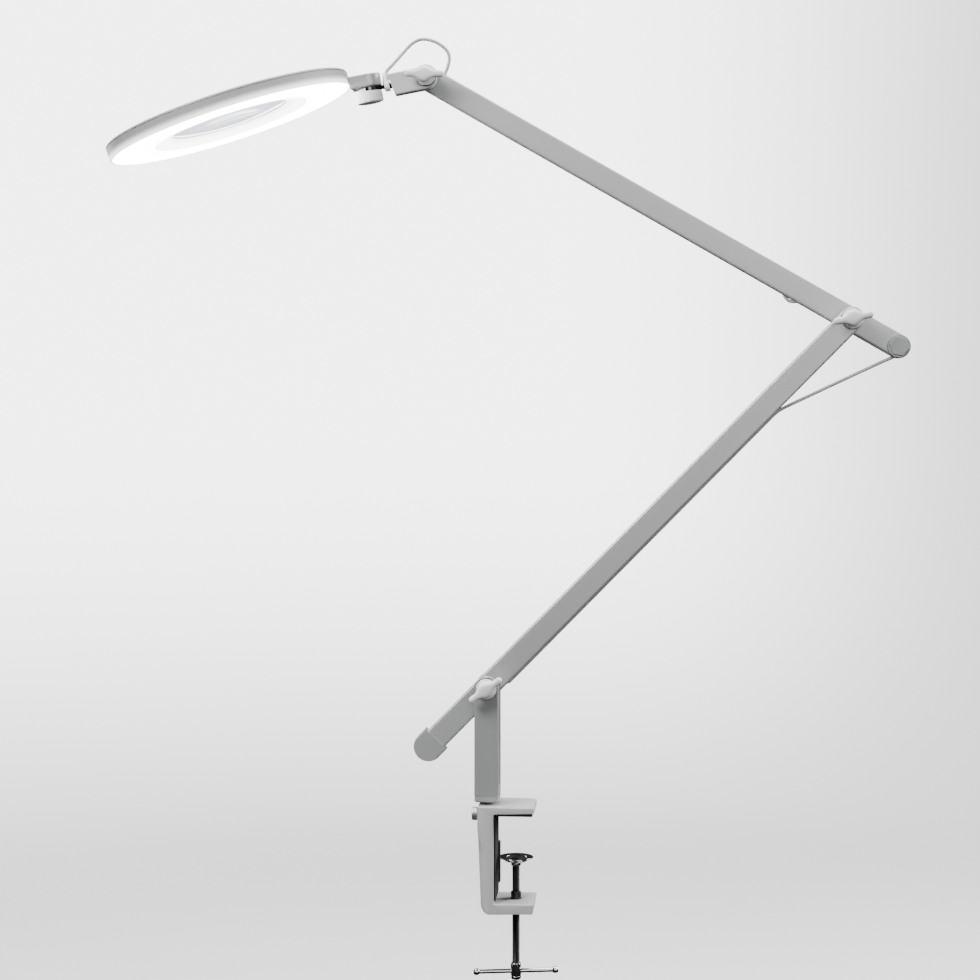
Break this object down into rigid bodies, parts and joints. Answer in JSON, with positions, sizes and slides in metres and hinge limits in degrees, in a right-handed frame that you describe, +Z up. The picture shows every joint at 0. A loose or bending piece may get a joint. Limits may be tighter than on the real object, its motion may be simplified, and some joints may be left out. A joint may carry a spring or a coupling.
{
  "type": "clamp-on magnifier lamp",
  "caption": "Two-arm clamp-on work lamp whose tilting, swivelling round head is a ring of light around a magnifying lens.",
  "frame": {"origin": "axis of the clamp screw, on the face of the rubber under the top jaw, where the lamp rests on the table's edge", "axes": "+Z up; the clamp opens towards +X, and the arms move in planes parallel to XZ; the wing knobs are on the -Y side"},
  "size_m": [0.8115, 0.2567, 0.9585],
  "materials": {
    "clamp_paint": "satin powder coat",
    "black_rubber": "matte",
    "black_steel": "black oxide",
    "chrome": "bright",
    "nickel": "nickel plated",
    "satin_aluminium": "satin anodised",
    "grey_plastic": "fine texture",
    "bush_plastic": "plain",
    "knob_plastic": "satin",
    "block_paint": "satin painted casting",
    "white_plastic": "plain",
    "cable_grey": "satin jacket",
    "head_shell": "satin",
    "lit_diffuser": "opal, lit",
    "board_white": "solder mask",
    "led_phosphor": "phosphor",
    "board_green": "solder mask",
    "lens_glass": "polished",
    "black_plastic": "fine texture"
  },
  "bodies": {
    "clamp": {"clamp_body": "clamp_paint", "jaw_pad": "black_rubber", "spine_pad": "black_rubber", "screw_bush": "black_steel"},
    "lock_screw": {"post_lock_screw": "nickel"},
    "screw": {"clamp_screw": "black_steel"},
    "pad": {"pressure_pad": "chrome"},
    "t_bar": {"tommy_bar": "chrome"},
    "post": {"post_fork": "satin_aluminium", "post_foot": "grey_plastic", "post_spigot": "black_steel", "base_bolt": "nickel", "base_washers": "black_steel", "base_knob_washer": "black_steel"},
    "base_wing": {"base_knob": "knob_plastic"},
    "lower": {"lower_arm": "satin_aluminium", "lower_arm_bushes": "bush_plastic", "lower_tail_cap": "grey_plastic", "dc_inlet": "black_plastic", "elbow_bolt": "nickel", "elbow_washer": "black_steel", "elbow_knob_washer": "black_steel", "lower_cable_run": "cable_grey", "elbow_cable_span": "cable_grey"},
    "elbow_wing": {"elbow_knob": "knob_plastic"},
    "upper": {"upper_arm": "satin_aluminium", "upper_arm_bushes": "bush_plastic", "upper_tail_cap": "grey_plastic", "tilt_bolt": "nickel", "tilt_washer": "black_steel", "tilt_knob_washer": "black_steel", "cable_grommet": "grey_plastic", "upper_cable_run": "cable_grey", "head_cable_loop": "cable_grey"},
    "tilt_wing": {"tilt_knob": "knob_plastic"},
    "block": {"tilt_block": "block_paint", "cable_collar": "white_plastic"},
    "rod": {"swivel_rod": "chrome"},
    "head": {"head_neck": "grey_plastic", "head_housing": "head_shell", "head_cover": "head_shell", "cover_screws": "nickel", "diffuser": "lit_diffuser", "led_board": "board_white", "led_chips": "led_phosphor", "driver_board": "board_green", "lens_bezel": "white_plastic", "lens": "lens_glass", "lens_retainer": "white_plastic", "button_switch": "black_plastic"},
    "neck_screw": {"neck_knob": "knob_plastic"},
    "button": {"dimmer_button": "knob_plastic"}
  },
  "joints": [
    {"name": "post_lock_turn", "type": "hinge", "parent": "clamp", "child": "lock_screw", "pos_m": [-0.04, 0, -0.002], "axis": [1, 0, 0], "range_deg": [-540, 0]},
    {"name": "pad_travel", "type": "slide", "parent": "clamp", "child": "pad", "axis": [0, 0, 1], "range_m": [-0.016, 0.042]},
    {"name": "screw_turn", "type": "hinge", "parent": "pad", "child": "screw", "pos_m": [0, 0, -0.1], "axis": [0, 0, 1], "range_deg": [-4600, 12090]},
    {"name": "t_bar_slide", "type": "slide", "parent": "screw", "child": "t_bar", "axis": [0.986, 0.1668, 0], "range_m": [-0.031, 0.031]},
    {"name": "post_swivel", "type": "hinge", "parent": "clamp", "child": "post", "pos_m": [-0.029, 0, 0.02], "axis": [0, 0, 1], "continuous": true},
    {"name": "base_wing_turn", "type": "hinge", "parent": "post", "child": "base_wing", "pos_m": [-0.029, -0.03, 0.1283], "axis": [0, -1, 0], "range_deg": [0, 360]},
    {"name": "base_pivot", "type": "hinge", "parent": "post", "child": "lower", "pos_m": [-0.029, 0, 0.1283], "axis": [0, -1, 0], "range_deg": [-50, 45]},
    {"name": "elbow_wing_turn", "type": "hinge", "parent": "lower", "child": "elbow_wing", "pos_m": [0.33553, -0.012, 0.50054], "axis": [0, -1, 0], "range_deg": [0, 360]},
    {"name": "elbow_pivot", "type": "hinge", "parent": "lower", "child": "upper", "pos_m": [0.33553, 0, 0.50054], "axis": [0, -1, 0], "range_deg": [-75, 15], "deforming": ["elbow_cable_span"]},
    {"name": "tilt_wing_turn", "type": "hinge", "parent": "upper", "child": "tilt_wing", "pos_m": [-0.09125, -0.012, 0.74595], "axis": [0, -1, 0], "range_deg": [0, 360]},
    {"name": "head_tilt", "type": "hinge", "parent": "upper", "child": "block", "pos_m": [-0.09125, 0, 0.74595], "axis": [0, -1, 0], "range_deg": [-60, 80], "deforming": ["head_cable_loop"]},
    {"name": "head_roll", "type": "hinge", "parent": "block", "child": "rod", "pos_m": [-0.12038, 0, 0.73851], "axis": [0.9833, 0, 0.1822], "range_deg": [-60, 60]},
    {"name": "head_swivel", "type": "hinge", "parent": "rod", "child": "head", "pos_m": [-0.14988, 0, 0.73304], "axis": [-0.1819, -0.0576, 0.9816], "range_deg": [-70, 70]},
    {"name": "neck_screw_turn", "type": "hinge", "parent": "head", "child": "neck_screw", "pos_m": [-0.14842, 0.00046, 0.72519], "axis": [-0.1819, -0.0576, 0.9816], "range_deg": [0, 360]},
    {"name": "button_press", "type": "slide", "parent": "head", "child": "button", "axis": [0.3104, 0.0571, -0.9489], "range_m": [0, 0.0005], "stiffness_N_per_m": 1200, "springref_m": -0.0006}
  ],
  "couplings": [
    {"joint": "pad_travel", "follows": "screw_turn", "m_per_rad": 0.00019894}
  ]
}
